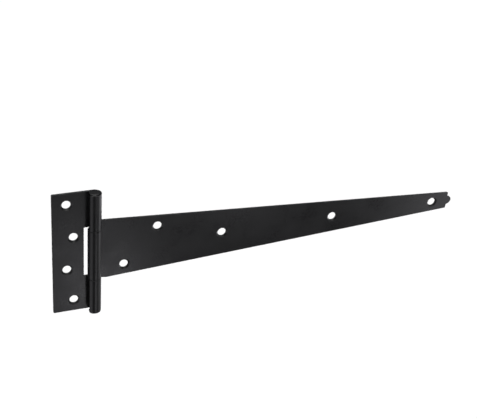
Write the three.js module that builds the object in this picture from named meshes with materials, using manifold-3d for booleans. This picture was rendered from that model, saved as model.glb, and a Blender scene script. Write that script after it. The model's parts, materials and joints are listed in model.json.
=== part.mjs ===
// A 12 inch tee hinge, in millimetres, +Z up.
//
// A tall fixed leaf is screwed to the post and a long tapered strap to the door or gate.
// Each is one sheet of steel. The leaf's upper and lower tabs and the strap's centre tab are
// rolled round one pin, so the hinge has three pieces: fixed_leaf, strap and hinge_pin.
//
// X runs along the strap, Z along the pin. Both backs lie in the plane Y = 0 and the barrel
// stands proud on the -Y side. The origin is on the leaf's back, at mid height, in the middle
// of the flat metal between its screw holes.

import * as THREE from 'three';
import { mergeVertices } from 'three/addons/utils/BufferGeometryUtils.js';
import Module from 'manifold-3d';

// Sheet, pin and barrel
const SHEET = 1.6;
const PIN_RADIUS = 3.15;
const RUNNING_GAP = 0.3;
const BORE_RADIUS = PIN_RADIUS + RUNNING_GAP;
const BARREL_RADIUS = BORE_RADIUS + SHEET;
const PIN_AXIS_X = 19;
const ROLL_WRAP = THREE.MathUtils.degToRad(240); // how far a rolled tab goes round the pin

// Pin heads, peened almost flush with the ends of the barrel
const HEAD_RADIUS = 4;
const HEAD_HEIGHT = 0.45;

// Fixed leaf: distances in X are from the pin axis
const LEAF_HEIGHT = 103.5;
const LEAF_EDGE = 30.2;
const NOTCH_EDGE = 7;
const NOTCH_HEIGHT = 42.8;

// Strap: distances in X are from the pin axis
const CENTRE_TAB_HEIGHT = NOTCH_HEIGHT - 2 * RUNNING_GAP;
const STRAP_START = 5.4;
const STRAP_LENGTH = 305;
const STRAP_ROOT_HALF = 25.9;
const STRAP_END_HALF = 7.5;
const ROOT_TRIM_LENGTH = 5;
const ROOT_TRIM_DEPTH = 1.1;

// Strap end: a round nose between two square shoulders, with a small cove on each side of it
const SHOULDER_X = 301.2;
const CORNER_EASE = 0.8;
const NOSE_RADIUS = 3.75;
const COVE_RADIUS = 1.2;
const NOSE_X = STRAP_LENGTH - NOSE_RADIUS;

// Countersunk screw holes, for 5 mm (No. 10) screws
const HOLE_RADIUS = 3.2;
const COUNTERSINK_RADIUS = 4.4;
const LEAF_HOLE_PITCH = 28;
const LEAF_HOLE_OUTER = -19.5;
const LEAF_HOLE_INNER = -14.5;
const STRAP_HOLES = [
  new THREE.Vector2(23.6, -16),
  new THREE.Vector2(48.9, 14),
  new THREE.Vector2(101, 0),
  new THREE.Vector2(195, 0),
  new THREE.Vector2(287, 0),
];

// Facets and cutting allowances
const ARC_STEPS = 16;
const TURN_STEPS = 36;
const DOME_STEPS = 4;
const OVERCUT = 1;
const TAB_OVERLAP = 4;

const wasm = await Module();
wasm.setup();

// A closed geometry as a solid: shared corners merged, and the flat slivers at a lathe's poles left out.
function solidFrom(geometry) {
  geometry.deleteAttribute('normal');
  geometry.deleteAttribute('uv');
  const merged = mergeVertices(geometry);
  const index = Array.from(merged.index.array);
  const triangles = [];
  for (let i = 0; i < index.length; i += 3) {
    const [a, b, c] = index.slice(i, i + 3);
    if (a !== b && b !== c && c !== a) {
      triangles.push(a, b, c);
    }
  }
  const vertProperties = new Float32Array(merged.attributes.position.array);
  const triVerts = new Uint32Array(triangles);
  return new wasm.Manifold(new wasm.Mesh({ numProp: 3, vertProperties, triVerts }));
}

function geometryFrom(solid) {
  const mesh = solid.getMesh();
  const geometry = new THREE.BufferGeometry();
  geometry.setAttribute('position', new THREE.BufferAttribute(mesh.vertProperties, 3));
  geometry.setIndex(new THREE.BufferAttribute(mesh.triVerts, 1));
  geometry.computeVertexNormals();
  return geometry;
}

// A section drawn in X and Y, run along Z about mid height.
function runAlongPin(section, height) {
  const options = { depth: height, bevelEnabled: false, curveSegments: ARC_STEPS };
  return new THREE.ExtrudeGeometry(section, options).translate(0, 0, -height / 2);
}

// An outline drawn in X and Z, made one sheet thick with its back in the plane Y = 0.
function sheetFrom(outline) {
  const options = { depth: SHEET, bevelEnabled: false, curveSegments: ARC_STEPS };
  return new THREE.ExtrudeGeometry(outline, options).rotateX(Math.PI / 2);
}

// The section of a sheet that ends in a rolled knuckle. side is -1 where the sheet runs towards
// -X and +1 where it runs towards +X. The roll starts at the barrel's back and goes two thirds
// of the way round the pin, so it stays open above the sheet's own front face.
function rolledSection(side, reach) {
  const start = Math.PI / 2;
  const end = start + side * ROLL_WRAP;
  const clockwise = side < 0;
  const section = new THREE.Shape();
  section.moveTo(side * reach, 0);
  section.lineTo(0, 0);
  section.absarc(0, -BARREL_RADIUS, BARREL_RADIUS, start, end, clockwise);
  section.absarc(0, -BARREL_RADIUS, BORE_RADIUS, end, start, !clockwise);
  section.lineTo(side * reach, -SHEET);
  section.closePath();
  return section;
}

// A screw hole's cutter about the Y axis: a straight bore that opens into a 90 degree countersink.
function holeCutter(x, z) {
  const coneFoot = -SHEET + COUNTERSINK_RADIUS - HOLE_RADIUS;
  const profile = [
    new THREE.Vector2(0, -SHEET - OVERCUT),
    new THREE.Vector2(COUNTERSINK_RADIUS + OVERCUT, -SHEET - OVERCUT),
    new THREE.Vector2(HOLE_RADIUS, coneFoot),
    new THREE.Vector2(HOLE_RADIUS, OVERCUT),
    new THREE.Vector2(0, OVERCUT),
  ];
  return solidFrom(new THREE.LatheGeometry(profile, TURN_STEPS).translate(x, 0, z));
}

function leafHoles() {
  const rows = [1.5, 0.5, -0.5, -1.5];
  return rows.map((row, i) => {
    const x = i % 2 === 0 ? LEAF_HOLE_OUTER : LEAF_HOLE_INNER;
    return new THREE.Vector2(x, row * LEAF_HOLE_PITCH);
  });
}

function drilled(solid, holes) {
  return holes.reduce((rest, hole) => rest.subtract(holeCutter(hole.x, hole.y)), solid);
}

function fixedLeaf() {
  const sheet = solidFrom(runAlongPin(rolledSection(-1, LEAF_EDGE), LEAF_HEIGHT));
  const notchWidth = NOTCH_EDGE + BARREL_RADIUS + OVERCUT;
  const notchDepth = 2 * BARREL_RADIUS + 2 * OVERCUT;
  const notch = new THREE.BoxGeometry(notchWidth, notchDepth, NOTCH_HEIGHT);
  notch.translate(notchWidth / 2 - NOTCH_EDGE, -BARREL_RADIUS, 0);
  return geometryFrom(drilled(sheet.subtract(solidFrom(notch)), leafHoles()));
}

function strapHalfWidth(x) {
  const taper = (STRAP_ROOT_HALF - STRAP_END_HALF) / (SHOULDER_X - STRAP_START);
  return STRAP_ROOT_HALF - taper * (x - STRAP_START);
}

// The strap's plate. Only its lower root corner is trimmed.
function strapOutline() {
  const trimEnd = STRAP_START + ROOT_TRIM_LENGTH;
  const easeX = SHOULDER_X - CORNER_EASE;
  const coveX = SHOULDER_X + COVE_RADIUS;
  const coveZ = Math.sqrt((NOSE_RADIUS + COVE_RADIUS) ** 2 - (coveX - NOSE_X) ** 2);
  const meet = Math.atan2(coveZ, coveX - NOSE_X);
  const outline = new THREE.Shape();
  outline.moveTo(STRAP_START, ROOT_TRIM_DEPTH - STRAP_ROOT_HALF);
  outline.lineTo(trimEnd, -strapHalfWidth(trimEnd));
  outline.lineTo(easeX, -strapHalfWidth(easeX));
  outline.quadraticCurveTo(SHOULDER_X, -STRAP_END_HALF, SHOULDER_X, CORNER_EASE - STRAP_END_HALF);
  outline.lineTo(SHOULDER_X, -coveZ);
  outline.absarc(coveX, -coveZ, COVE_RADIUS, Math.PI, Math.PI - meet, true);
  outline.absarc(NOSE_X, 0, NOSE_RADIUS, -meet, meet, false);
  outline.absarc(coveX, coveZ, COVE_RADIUS, Math.PI + meet, Math.PI, true);
  outline.lineTo(SHOULDER_X, STRAP_END_HALF - CORNER_EASE);
  outline.quadraticCurveTo(SHOULDER_X, STRAP_END_HALF, easeX, strapHalfWidth(easeX));
  outline.lineTo(STRAP_START, STRAP_ROOT_HALF);
  outline.closePath();
  return outline;
}

function strap() {
  const plate = solidFrom(sheetFrom(strapOutline()));
  const tabSection = rolledSection(1, STRAP_START + TAB_OVERLAP);
  const tab = solidFrom(runAlongPin(tabSection, CENTRE_TAB_HEIGHT));
  return geometryFrom(drilled(plate.add(tab), STRAP_HOLES));
}

// A straight shank with a low domed head at each end.
function hingePin() {
  const seat = LEAF_HEIGHT / 2 + RUNNING_GAP;
  const profile = new THREE.Path();
  profile.moveTo(0, -seat - HEAD_HEIGHT);
  profile.absellipse(0, -seat, HEAD_RADIUS, HEAD_HEIGHT, -Math.PI / 2, 0, false);
  profile.lineTo(PIN_RADIUS, -seat);
  profile.lineTo(PIN_RADIUS, seat);
  profile.lineTo(HEAD_RADIUS, seat);
  profile.absellipse(0, seat, HEAD_RADIUS, HEAD_HEIGHT, 0, Math.PI / 2, false);
  const turned = new THREE.LatheGeometry(profile.getPoints(DOME_STEPS), TURN_STEPS);
  return geometryFrom(solidFrom(turned.rotateX(Math.PI / 2).translate(0, -BARREL_RADIUS, 0)));
}

const blackPowderCoat = { color: 0x2c2c2e, roughness: 0.45, metalness: 0 };

function piece(name, geometry) {
  const mesh = new THREE.Mesh(geometry, new THREE.MeshStandardMaterial(blackPowderCoat));
  mesh.name = name;
  mesh.position.x = PIN_AXIS_X;
  return mesh;
}

const teeHinge = new THREE.Group();
teeHinge.add(piece('fixed_leaf', fixedLeaf()));
teeHinge.add(piece('strap', strap()));
teeHinge.add(piece('hinge_pin', hingePin()));

export default teeHinge;
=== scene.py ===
# A black powder-coated tee hinge: a fixed leaf, a long tapered strap and the pin that joins them.
#
# Each leaf is made the way the real one is. A flat blank is cut out of sheet steel with every edge
# eased and every screw hole countersunk, and then its tabs are rolled round the pin. X runs along
# the strap, +Y is the back that lies on the post and the door, and Z runs along the pin. Units
# are metres.

import json
import math

import bpy
from mathutils import Matrix, Vector
from mathutils.geometry import delaunay_2d_cdt


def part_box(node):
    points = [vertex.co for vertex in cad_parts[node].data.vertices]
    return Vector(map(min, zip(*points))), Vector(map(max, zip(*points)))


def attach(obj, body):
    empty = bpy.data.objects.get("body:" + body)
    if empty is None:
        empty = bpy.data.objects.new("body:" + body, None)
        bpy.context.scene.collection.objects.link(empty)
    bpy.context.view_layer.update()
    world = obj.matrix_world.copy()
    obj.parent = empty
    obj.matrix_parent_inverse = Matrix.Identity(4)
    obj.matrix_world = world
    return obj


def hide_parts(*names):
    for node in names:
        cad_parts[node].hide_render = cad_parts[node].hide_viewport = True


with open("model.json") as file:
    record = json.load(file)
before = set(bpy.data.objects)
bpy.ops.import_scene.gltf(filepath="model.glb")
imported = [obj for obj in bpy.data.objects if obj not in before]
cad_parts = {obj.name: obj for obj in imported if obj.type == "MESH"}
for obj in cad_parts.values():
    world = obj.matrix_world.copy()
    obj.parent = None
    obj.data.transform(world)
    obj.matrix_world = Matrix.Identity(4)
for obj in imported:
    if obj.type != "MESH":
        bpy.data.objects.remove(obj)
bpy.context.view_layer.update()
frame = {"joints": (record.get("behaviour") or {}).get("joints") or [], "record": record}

MM = 0.001

# ---------------------------------------------------------------- sizes

SHEET = 1.6 * MM
RUNNING_GAP = 0.3 * MM

HOLE_RADIUS = 3.2 * MM
COUNTERSINK_RADIUS = 4.4 * MM

NOTCH_EDGE = 7 * MM
NOTCH_HEIGHT = 42.8 * MM
CENTRE_TAB_HEIGHT = NOTCH_HEIGHT - 2 * RUNNING_GAP

STRAP_START = 5.4 * MM
STRAP_END_HALF = 7.5 * MM
ROOT_TRIM_LENGTH = 5 * MM
ROOT_TRIM_DEPTH = 1.1 * MM

SHOULDER_INSET = 3.8 * MM
NOSE_RADIUS = 3.75 * MM
COVE_RADIUS = 1.2 * MM

PIN_HEAD_RADIUS = 4 * MM

# The coated sheet has no sharp edges.
EDGE_EASE = 0.22 * MM
EDGE_BAND = 0.35 * MM
HOLE_EASE = 0.14 * MM
CORNER_EASE = 0.8 * MM
TAB_CORNER_EASE = 0.6 * MM

EASE_ARC_STEP = math.radians(12)
NOSE_ARC_STEP = math.radians(6)
ROLL_STEPS = 110
HOLE_STEPS = 72
PIN_STEPS = 96
DOME_STEPS = 10

SHORT_SIDE = 0.8 * MM  # sides that reach less far than this along X aren't divided
CUT_MARGIN = 1e-4  # share of a side's length
STATION_SLACK = 1e-7  # metres
FILL_SLACK = 1e-5  # millimetres

joint = frame["joints"][0]
PIN_X, PIN_Y = joint["pos_m"][:2]
BARREL_RADIUS = -PIN_Y
BORE_RADIUS = BARREL_RADIUS - SHEET
PIN_RADIUS = BORE_RADIUS - RUNNING_GAP
NEUTRAL_RADIUS = BARREL_RADIUS - SHEET / 2
ROLL_TURN = math.radians(240)
ROLL_LENGTH = ROLL_TURN * NEUTRAL_RADIUS

leaf_low, leaf_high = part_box("fixed_leaf")
strap_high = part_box("strap")[1]
pin_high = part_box("hinge_pin")[1]


# ---------------------------------------------------------------- outlines and edge profiles

def eased(corners, closed):
    """Corners (a, b, radius) with each radius put in as an arc.

    Returns places (point, direction of travel on arriving, direction on leaving).
    """
    places = []
    count = len(corners)
    for i, (a, b, radius) in enumerate(corners):
        here = Vector((a, b))
        before = Vector(corners[i - 1][:2])
        after = Vector(corners[(i + 1) % count][:2])
        arrive = (here - before).normalized()
        leave = (after - here).normalized()
        if not closed and i == 0:
            arrive = leave
        if not closed and i == count - 1:
            leave = arrive
        if radius == 0:
            places.append((here, arrive, leave))
            continue
        turn = math.atan2(arrive.x * leave.y - arrive.y * leave.x, arrive.dot(leave))
        start = here - arrive * radius * math.tan(abs(turn) / 2)
        centre = start + Vector((-arrive.y, arrive.x)) * math.copysign(radius, turn)
        steps = max(2, math.ceil(abs(turn) / EASE_ARC_STEP))
        for k in range(steps + 1):
            swing = Matrix.Rotation(turn * k / steps, 2)
            along = swing @ arrive
            places.append((centre + swing @ (start - centre), along, along))
    return places


def edge_rows(corners):
    """Rows (inset, depth, tilt) down a sheet's edge, from its front to its back.

    tilt is 0 where the surface faces front and half a turn where it faces back.
    """
    rows = []
    for point, arrive, leave in eased(corners, closed=False):
        travel = (arrive + leave).normalized()
        rows.append((point.x, point.y, math.atan2(travel.y, -travel.x)))
    return rows


def plain_edge():
    return edge_rows([
        (EDGE_BAND, 0, 0),
        (0, 0, EDGE_EASE),
        (0, SHEET, EDGE_EASE),
        (EDGE_BAND, SHEET, 0),
    ])


def countersunk_edge():
    sink = COUNTERSINK_RADIUS - HOLE_RADIUS
    return edge_rows([
        (sink + EDGE_BAND, 0, 0),
        (sink, 0, HOLE_EASE),
        (0, sink, HOLE_EASE),
        (0, SHEET, HOLE_EASE),
        (EDGE_BAND, SHEET, 0),
    ])


def with_outward(places):
    """Each point of a closed outline with its mitred outward direction."""
    loop = []
    for point, arrive, leave in places:
        first = Vector((arrive.y, -arrive.x))
        second = Vector((leave.y, -leave.x))
        loop.append((point, (first + second) / (1 + first.dot(second))))
    return loop


def hole_loop(centre):
    """A hole's wall, run clockwise so that the metal is on its left."""
    loop = []
    for k in range(HOLE_STEPS):
        angle = -2 * math.pi * k / HOLE_STEPS
        radial = Vector((math.cos(angle), math.sin(angle)))
        loop.append((centre + radial * HOLE_RADIUS, -radial))
    return loop


def roll_stations(side):
    """Distances along X, measured on the flat blank, where the rolled tab is divided."""
    return [PIN_X + side * ROLL_LENGTH * k / ROLL_STEPS for k in range(ROLL_STEPS)]


def divided(places, stations):
    """The outline with a place added wherever a straight side crosses a station."""
    out = []
    for i, (here, arrive, leave) in enumerate(places):
        after = places[(i + 1) % len(places)][0]
        out.append((here, arrive, leave))
        span = after.x - here.x
        if abs(span) < SHORT_SIDE:
            continue
        cuts = [(s - here.x) / span for s in stations]
        for cut in sorted(c for c in cuts if CUT_MARGIN < c < 1 - CUT_MARGIN):
            out.append((here.lerp(after, cut), leave, leave))
    return out


# ---------------------------------------------------------------- sheet metal

class Sheet:
    """A flat blank, and the mesh of it once its tabs are rolled.

    side is +1 where the tabs point to +X.
    """

    def __init__(self, side):
        self.side = side
        self.stations = roll_stations(side)
        self.verts = []
        self.normals = []
        self.wear = []
        self.flat = []
        self.faces = []

    def place(self, along, depth, up, outward, tilt):
        """Adds one point of the blank, rolled round the pin where it lies past the pin's axis."""
        past = max(0, (along - PIN_X) * self.side)
        turn = self.side * past / NEUTRAL_RADIUS
        flat_x = along if past == 0 else PIN_X
        radius = BARREL_RADIUS - (SHEET - depth)
        x = flat_x + radius * math.sin(turn)
        y = PIN_Y + radius * math.cos(turn)
        across = outward.normalized() * math.sin(tilt)
        facing = -math.cos(tilt)
        normal = Vector((
            across.x * math.cos(turn) + facing * math.sin(turn),
            facing * math.cos(turn) - across.x * math.sin(turn),
            across.y,
        ))
        self.verts.append((x, y, up))
        self.normals.append(normal)
        # 1 half way round an eased edge and on a countersink's cone, 0 on flat faces and plain walls
        self.wear.append(abs(math.sin(2 * tilt)))
        self.flat.append(Vector((along, up)))
        return len(self.verts) - 1

    def wall(self, loop, rows):
        """Sweeps an edge profile round a loop. Returns its front and back rings."""
        rings = []
        for inset, depth, tilt in rows:
            ring = []
            for point, outward in loop:
                spot = point - outward * inset
                ring.append(self.place(spot.x, depth, spot.y, outward, tilt))
            rings.append(ring)
        count = len(loop)
        for front, back in zip(rings, rings[1:]):
            for i in range(count):
                j = (i + 1) % count
                self.faces.append((front[i], back[i], back[j], front[j]))
        return rings[0], rings[-1]

    def cross_ties(self, ring):
        """Pairs of places in a ring that face each other across a tab at the same station."""
        ties = []
        for station in self.stations:
            here = [i for i, v in enumerate(ring) if abs(self.flat[v].x - station) < STATION_SLACK]
            here.sort(key=lambda i: self.flat[ring[i]].y)
            ties += [(here[i], here[i + 1]) for i in range(0, len(here) - 1, 2)]
        return ties

    def face(self, rings, facing_back):
        """Fills the face inside the first ring and outside the others."""
        order = [v for ring in rings for v in ring]
        ring_of = [i for i, ring in enumerate(rings) for v in ring]
        edges = self.cross_ties(rings[0])
        start = 0
        for ring in rings:
            count = len(ring)
            edges += [(start + i, start + (i + 1) % count) for i in range(count)]
            start += count
        points = [self.flat[v] / MM for v in order]
        enclosed_triangles = 1
        filled = delaunay_2d_cdt(points, edges, [], enclosed_triangles, FILL_SLACK)
        triangles, sources = filled[2:4]
        for triangle in triangles:
            corners = [sources[v][0] for v in triangle]
            # A triangle with all its corners on one hole's ring lies across that hole.
            within = {ring_of[v] for v in corners}
            if len(within) == 1 and within != {0}:
                continue
            if facing_back:
                corners.reverse()
            self.faces.append(tuple(order[v] for v in corners))

    def cut(self, outline, holes):
        outer = self.wall(with_outward(divided(outline, self.stations)), plain_edge())
        bores = [self.wall(hole_loop(centre), countersunk_edge()) for centre in holes]
        self.face([outer[0]] + [bore[0] for bore in bores], facing_back=False)
        self.face([outer[1]] + [bore[1] for bore in bores], facing_back=True)


def add_object(name, data):
    """A new object in the scene."""
    thing = bpy.data.objects.new(name, data)
    bpy.context.scene.collection.objects.link(thing)
    return thing


def new_piece(name, verts, faces, normals, wear):
    mesh = bpy.data.meshes.new(name)
    mesh.from_pydata([tuple(v) for v in verts], [], faces)
    mesh.shade_smooth()
    mesh.normals_split_custom_set_from_vertices([tuple(n) for n in normals])
    attribute = mesh.attributes.new("wear", "FLOAT", "POINT")
    attribute.data.foreach_set("value", wear)
    return add_object(name, mesh)


def screw_holes(prefix):
    """Centres, in X and Z, of the openings that the record names for one leaf."""
    centres = []
    for opening in frame["record"]["physics"]["openings"]:
        if opening["name"].startswith(prefix):
            low, high = opening["box_m"]
            centres.append(Vector(((low[0] + high[0]) / 2, (low[2] + high[2]) / 2)))
    return centres


def fixed_leaf_outline():
    edge = leaf_low.x
    notch = PIN_X - NOTCH_EDGE
    tip = PIN_X + ROLL_LENGTH
    top = leaf_high.z
    shelf = NOTCH_HEIGHT / 2
    return eased([
        (edge, -top, CORNER_EASE),
        (tip, -top, TAB_CORNER_EASE),
        (tip, -shelf, TAB_CORNER_EASE),
        (notch, -shelf, TAB_CORNER_EASE),
        (notch, shelf, TAB_CORNER_EASE),
        (tip, shelf, TAB_CORNER_EASE),
        (tip, top, TAB_CORNER_EASE),
        (edge, top, CORNER_EASE),
    ], closed=True)


def nose_points(shoulder):
    """The cove, nose and cove between the strap's two shoulders, from below to above."""
    nose = strap_high.x - NOSE_RADIUS
    cove_x = shoulder + COVE_RADIUS
    cove_z = math.sqrt((NOSE_RADIUS + COVE_RADIUS) ** 2 - (cove_x - nose) ** 2)
    meet = math.atan2(cove_z, cove_x - nose)
    steps = math.ceil(meet / NOSE_ARC_STEP)
    lower = []
    for k in range(steps + 1):
        angle = math.pi - meet * k / steps
        x = cove_x + COVE_RADIUS * math.cos(angle)
        lower.append(Vector((x, COVE_RADIUS * math.sin(angle) - cove_z)))
    round_nose = []
    for k in range(1, 2 * steps):
        angle = meet * (k / steps - 1)
        x = nose + NOSE_RADIUS * math.cos(angle)
        round_nose.append(Vector((x, NOSE_RADIUS * math.sin(angle))))
    upper = [Vector((p.x, -p.y)) for p in reversed(lower)]
    return lower + round_nose + upper


def strap_outline():
    root = PIN_X + STRAP_START
    tip = PIN_X - ROLL_LENGTH
    shoulder = strap_high.x - SHOULDER_INSET
    tab = CENTRE_TAB_HEIGHT / 2
    half = strap_high.z
    taper = (half - STRAP_END_HALF) / (shoulder - root)
    trim_end = root + ROOT_TRIM_LENGTH
    lower = [
        (root, -tab, TAB_CORNER_EASE),
        (root, ROOT_TRIM_DEPTH - half, CORNER_EASE),
        (trim_end, taper * ROOT_TRIM_LENGTH - half, CORNER_EASE),
        (shoulder, -STRAP_END_HALF, CORNER_EASE),
    ]
    nose = [(p.x, p.y, 0) for p in nose_points(shoulder)]
    upper = [
        (shoulder, STRAP_END_HALF, CORNER_EASE),
        (root, half, CORNER_EASE),
        (root, tab, TAB_CORNER_EASE),
        (tip, tab, TAB_CORNER_EASE),
        (tip, -tab, TAB_CORNER_EASE),
    ]
    return eased(lower + nose + upper, closed=True)


def sheet_piece(name, side, outline, holes):
    sheet = Sheet(side)
    sheet.cut(outline, holes)
    return new_piece(name, sheet.verts, sheet.faces, sheet.normals, sheet.wear)


# ---------------------------------------------------------------- pin

def pin_rows():
    """Rows (radius, height, tilt) down the pin, from its top pole to its bottom one.

    tilt is 0 where the surface faces up.
    """
    seat = leaf_high.z + RUNNING_GAP
    head_height = pin_high.z - seat
    dome = []
    for k in range(DOME_STEPS + 1):
        angle = math.pi / 2 * k / DOME_STEPS
        radius = PIN_HEAD_RADIUS * math.sin(angle)
        height = seat + head_height * math.cos(angle)
        tilt = math.atan2(head_height * math.sin(angle), PIN_HEAD_RADIUS * math.cos(angle))
        dome.append((radius, height, tilt))
    # The head's underside, and the bevel, shaded round, where it meets the shank
    under = [
        (PIN_HEAD_RADIUS - EDGE_EASE, seat, math.pi),
        (PIN_RADIUS + EDGE_EASE, seat, math.pi),
        (PIN_RADIUS, seat - EDGE_EASE, math.pi / 2),
    ]
    upper = dome + under
    lower = [(radius, -height, math.pi - tilt) for radius, height, tilt in reversed(upper)]
    return upper + lower


def turned_piece(name, rows):
    """Turns rows (radius, height, tilt) about the pin's axis, where the first and the last lie."""
    axis = Vector((PIN_X, PIN_Y, 0))
    up = Vector((0, 0, 1))
    verts = []
    normals = []
    faces = []
    for radius, height, tilt in rows[1:-1]:
        for k in range(PIN_STEPS):
            angle = 2 * math.pi * k / PIN_STEPS
            radial = Vector((math.cos(angle), math.sin(angle), 0))
            verts.append(axis + radial * radius + up * height)
            normals.append(radial * math.sin(tilt) + up * math.cos(tilt))
    last = len(verts) - PIN_STEPS
    top = len(verts)
    bottom = top + 1
    verts += [axis + up * rows[0][1], axis + up * rows[-1][1]]
    normals += [up, -up]
    for k in range(PIN_STEPS):
        n = (k + 1) % PIN_STEPS
        faces.append((top, k, n))
        for row in range(0, last, PIN_STEPS):
            below = row + PIN_STEPS
            faces.append((row + k, below + k, below + n, row + n))
        faces.append((last + k, bottom, last + n))
    return new_piece(name, verts, faces, normals, [0] * len(verts))


leaf = sheet_piece("leaf_sheet", 1, fixed_leaf_outline(), screw_holes("leaf"))
strap = sheet_piece("strap_sheet", -1, strap_outline(), screw_holes("strap"))
pin = turned_piece("pin_turned", pin_rows())

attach(leaf, "leaf_and_pin")
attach(pin, "leaf_and_pin")
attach(strap, "strap")
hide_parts("fixed_leaf")
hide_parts("hinge_pin")
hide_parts("strap")


# ---------------------------------------------------------------- materials

# How far apart the coat's marks are, and how deep the two kinds that have depth
CLOUD_SIZE = 18 * MM
PEEL_SIZE = 1.9 * MM
PEEL_DEPTH = 0.012 * MM
GRAIN_SIZE = 0.35 * MM
GRAIN_DEPTH = 0.0025 * MM
THIN_SPOT_SIZE = 2.4 * MM

# The stretch of each noise over which its effect goes from least to most
CLOUD_RANGE = (0.35, 0.65)
SPECK_RANGE = (0.62, 0.8)
THIN_SPOT_RANGE = (0.4, 0.7)
ROUGHNESS_RANGE = (0.3, 0.7)

SPECK_STRENGTH = 0.35
THIN_LEAST = 0.1
THIN_MOST = 0.85

SHEET_ROUGHNESS = 0.30
PIN_ROUGHNESS = 0.33
CLOUD_SMOOTHER = 0.03
CLOUD_ROUGHER = 0.04
GRAIN_ROUGHNESS = 0.03
THIN_SMOOTHER = 0.05

# Sockets of a Mix node that mixes colours
MIX_FACTOR = 0
MIX_FIRST = 6
MIX_SECOND = 7
MIX_RESULT = 2


def grey(level, cool=1.0):
    """A grey whose blue is cool times its red and green."""
    return (level, level, level * cool, 1)


COAT = grey(0.0050, 1.15)
COAT_CLOUD = grey(0.0072, 1.12)
SPECK = grey(0.022, 1.05)
THIN_COAT = grey(0.035, 1.02)


class Nodes:
    """Short calls for the nodes of one material or world."""

    def __init__(self, tree):
        self.tree = tree

    def add(self, kind, **inputs):
        node = self.tree.nodes.new("ShaderNode" + kind)
        for name, value in inputs.items():
            self.feed(node.inputs[name.replace("_", " ")], value)
        return node

    def feed(self, socket, value):
        if isinstance(value, bpy.types.NodeSocket):
            self.tree.links.new(value, socket)
        else:
            socket.default_value = value

    def noise(self, place, size, detail, roughness=0.5):
        """Noise whose lumps are about size metres across."""
        node = self.add("TexNoise", Vector=place, Scale=1 / size, Detail=detail, Roughness=roughness)
        return node.outputs["Fac"]

    def span(self, value, low, high, to_low, to_high):
        """Maps low to high of a value onto to_low to to_high, and holds it there beyond them."""
        node = self.add("MapRange", Value=value, From_Min=low, From_Max=high)
        self.feed(node.inputs["To Min"], to_low)
        self.feed(node.inputs["To Max"], to_high)
        return node.outputs["Result"]

    def math(self, operation, first, second):
        node = self.tree.nodes.new("ShaderNodeMath")
        node.operation = operation
        self.feed(node.inputs[0], first)
        self.feed(node.inputs[1], second)
        return node.outputs[0]

    def blend(self, factor, first, second):
        """Mixes two colours."""
        node = self.tree.nodes.new("ShaderNodeMix")
        node.data_type = "RGBA"
        self.feed(node.inputs[MIX_FACTOR], factor)
        self.feed(node.inputs[MIX_FIRST], first)
        self.feed(node.inputs[MIX_SECOND], second)
        return node.outputs[MIX_RESULT]

    def bump(self, height, distance, below=None):
        node = self.add("Bump", Height=height, Distance=distance, Strength=1.0)
        if below is not None:
            self.feed(node.inputs["Normal"], below)
        return node.outputs["Normal"]


def powder_coat(name, roughness):
    """Satin black powder coat: orange peel, fine grain, and a thin coat on edges and countersinks."""
    material = bpy.data.materials.new(name)
    material.use_nodes = True
    nodes = Nodes(material.node_tree)
    shader = material.node_tree.nodes["Principled BSDF"]
    place = nodes.add("TexCoord").outputs["Object"]
    wear = nodes.add("Attribute")
    wear.attribute_name = "wear"

    clouds = nodes.noise(place, CLOUD_SIZE, detail=3)
    peel = nodes.noise(place, PEEL_SIZE, detail=2)
    grain = nodes.noise(place, GRAIN_SIZE, detail=3, roughness=0.6)
    thin_spots = nodes.noise(place, THIN_SPOT_SIZE, detail=4, roughness=0.65)

    body = nodes.blend(nodes.span(clouds, *CLOUD_RANGE, 0, 1), COAT, COAT_CLOUD)
    specks = nodes.span(grain, *SPECK_RANGE, 0, SPECK_STRENGTH)
    speckled = nodes.blend(specks, body, SPECK)
    spots = nodes.span(thin_spots, *THIN_SPOT_RANGE, THIN_LEAST, THIN_MOST)
    thin = nodes.math("MULTIPLY", wear.outputs["Fac"], spots)
    nodes.feed(shader.inputs["Base Color"], nodes.blend(thin, speckled, THIN_COAT))

    smoothest = roughness - CLOUD_SMOOTHER
    roughest = roughness + CLOUD_ROUGHER
    patchy = nodes.span(clouds, *ROUGHNESS_RANGE, smoothest, roughest)
    fine = nodes.span(grain, *ROUGHNESS_RANGE, -GRAIN_ROUGHNESS, GRAIN_ROUGHNESS)
    dusty = nodes.math("ADD", patchy, fine)
    rough = nodes.math("SUBTRACT", dusty, nodes.math("MULTIPLY", thin, THIN_SMOOTHER))
    nodes.feed(shader.inputs["Roughness"], rough)

    rippled = nodes.bump(peel, PEEL_DEPTH)
    nodes.feed(shader.inputs["Normal"], nodes.bump(grain, GRAIN_DEPTH, rippled))
    return material


sheet_coat = powder_coat("satin_powder_coat_on_sheet", SHEET_ROUGHNESS)
pin_coat = powder_coat("satin_powder_coat_on_pin", PIN_ROUGHNESS)
leaf.data.materials.append(sheet_coat)
strap.data.materials.append(sheet_coat)
pin.data.materials.append(pin_coat)


# ---------------------------------------------------------------- camera

CAMERA_AZIMUTH = math.radians(-23.8)
CAMERA_ELEVATION = math.radians(31.83)
CAMERA_ROLL = math.radians(5.32)
CAMERA_DISTANCE = 0.7916
CAMERA_TARGET = Vector((0.13775, 0.01175, 0.00988))
CAMERA_LENS = 76.715
CAMERA_SENSOR = 36


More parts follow.
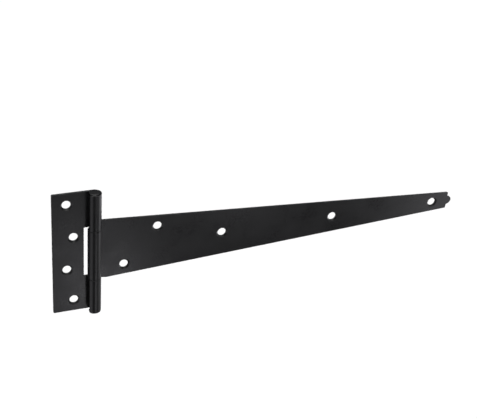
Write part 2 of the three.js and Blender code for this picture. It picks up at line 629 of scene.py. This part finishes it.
def add_camera():
    data = bpy.data.cameras.new("camera")
    data.sensor_width = CAMERA_SENSOR
    data.lens = CAMERA_LENS
    camera = add_object("camera", data)
    away = Vector((
        -math.sin(CAMERA_AZIMUTH) * math.cos(CAMERA_ELEVATION),
        math.cos(CAMERA_AZIMUTH) * math.cos(CAMERA_ELEVATION),
        -math.sin(CAMERA_ELEVATION),
    ))
    level = away.to_track_quat("-Z", "Y").to_matrix().to_4x4()
    place = Matrix.Translation(CAMERA_TARGET - away * CAMERA_DISTANCE)
    camera.matrix_world = place @ level @ Matrix.Rotation(CAMERA_ROLL, 4, "Z")
    bpy.context.scene.camera = camera


add_camera()


# ---------------------------------------------------------------- studio

FLOOR_DROP = 0.7
FLOOR_SIZE = 12
FLOOR_GREY = 0.9
FLOOR_ROUGHNESS = 0.9

# The room's light, and where it changes. The X of a direction runs from -1, straight past the
# leaf, to 1, straight past the strap's tip.
ROOM_PAST_LEAF = 0.03
ROOM = 0.1
ROOM_PAST_TIP = 0.3
LEAF_SIDE = (-0.6, 0.1)
TIP_SIDE = (0.5, 0.9)

SUN_STRENGTH = 3.25
SUN_ANGLE = math.radians(60)

LIGHT_CENTRE = Vector((0.1, 0, 0))
LIGHT_DISTANCE = 0.5
SOFT_BOX_COLOUR = (0.99, 0.98, 1.03)

# Name, azimuth and elevation in degrees, width and height in metres, radiance
SOFT_BOXES = [
    ("front_tall", 0, -40, 0.13, 0.26, 0.35),
    ("front", 4, -40, 0.1, 0.1, 2.0),
    ("front_right", 24, -21, 0.12, 0.1, 1.7),
    ("right", 70, -18, 0.4, 0.3, 1.1),
    ("far_right", 115, -10, 0.5, 0.5, 1.7),
    ("left", -68, -30, 0.45, 0.3, 0.6),
]


def add_floor():
    half = FLOOR_SIZE / 2
    mesh = bpy.data.meshes.new("floor")
    corners = [(-half, -half), (half, -half), (half, half), (-half, half)]
    mesh.from_pydata([(x, y, -FLOOR_DROP) for x, y in corners], [], [(0, 1, 2, 3)])
    material = bpy.data.materials.new("pale_floor")
    material.use_nodes = True
    shader = material.node_tree.nodes["Principled BSDF"]
    shader.inputs["Base Color"].default_value = grey(FLOOR_GREY)
    shader.inputs["Roughness"].default_value = FLOOR_ROUGHNESS
    shader.inputs["Specular IOR Level"].default_value = 0
    mesh.materials.append(material)
    floor = add_object("floor", mesh)
    floor.visible_glossy = False


def add_world():
    """A dim room, darker past the leaf and lighter past the strap's tip, that the camera sees as white."""
    world = bpy.data.worlds.new("studio")
    world.use_nodes = True
    bpy.context.scene.world = world
    tree = world.node_tree
    nodes = Nodes(tree)
    direction = nodes.add("SeparateXYZ", Vector=nodes.add("TexCoord").outputs["Generated"])
    along = direction.outputs["X"]
    dim = nodes.span(along, *LEAF_SIDE, ROOM_PAST_LEAF, ROOM)
    level = nodes.math("ADD", dim, nodes.span(along, *TIP_SIDE, 0, ROOM_PAST_TIP))
    room = nodes.add("Background", Color=grey(1), Strength=level)
    plain = nodes.add("Background", Color=grey(1), Strength=1.0)
    seen = nodes.add("LightPath").outputs["Is Camera Ray"]
    mix = nodes.add("MixShader", Fac=seen)
    tree.links.new(room.outputs[0], mix.inputs[1])
    tree.links.new(plain.outputs[0], mix.inputs[2])
    tree.links.new(mix.outputs[0], tree.nodes["World Output"].inputs["Surface"])


def add_soft_box(name, azimuth, elevation, width, height, radiance):
    """A panel that faces the hinge. Azimuth 0 is in front of it and 90 off the strap's tip."""
    data = bpy.data.lights.new(name, "AREA")
    data.shape = "RECTANGLE"
    data.size = width
    data.size_y = height
    data.energy = math.pi * width * height * radiance
    data.color = SOFT_BOX_COLOUR
    a = math.radians(azimuth)
    e = math.radians(elevation)
    towards = Vector((math.sin(a) * math.cos(e), -math.cos(a) * math.cos(e), math.sin(e)))
    box = add_object(name, data)
    box.location = LIGHT_CENTRE + towards * LIGHT_DISTANCE
    box.rotation_euler = (-towards).to_track_quat("-Z", "Z").to_euler()
    box.visible_camera = False


def add_overhead():
    data = bpy.data.lights.new("overhead", "SUN")
    data.energy = SUN_STRENGTH
    data.angle = SUN_ANGLE
    add_object("overhead", data)


add_floor()
add_world()
add_overhead()
for soft_box in SOFT_BOXES:
    add_soft_box(*soft_box)
bpy.context.scene.view_settings.view_transform = "Standard"
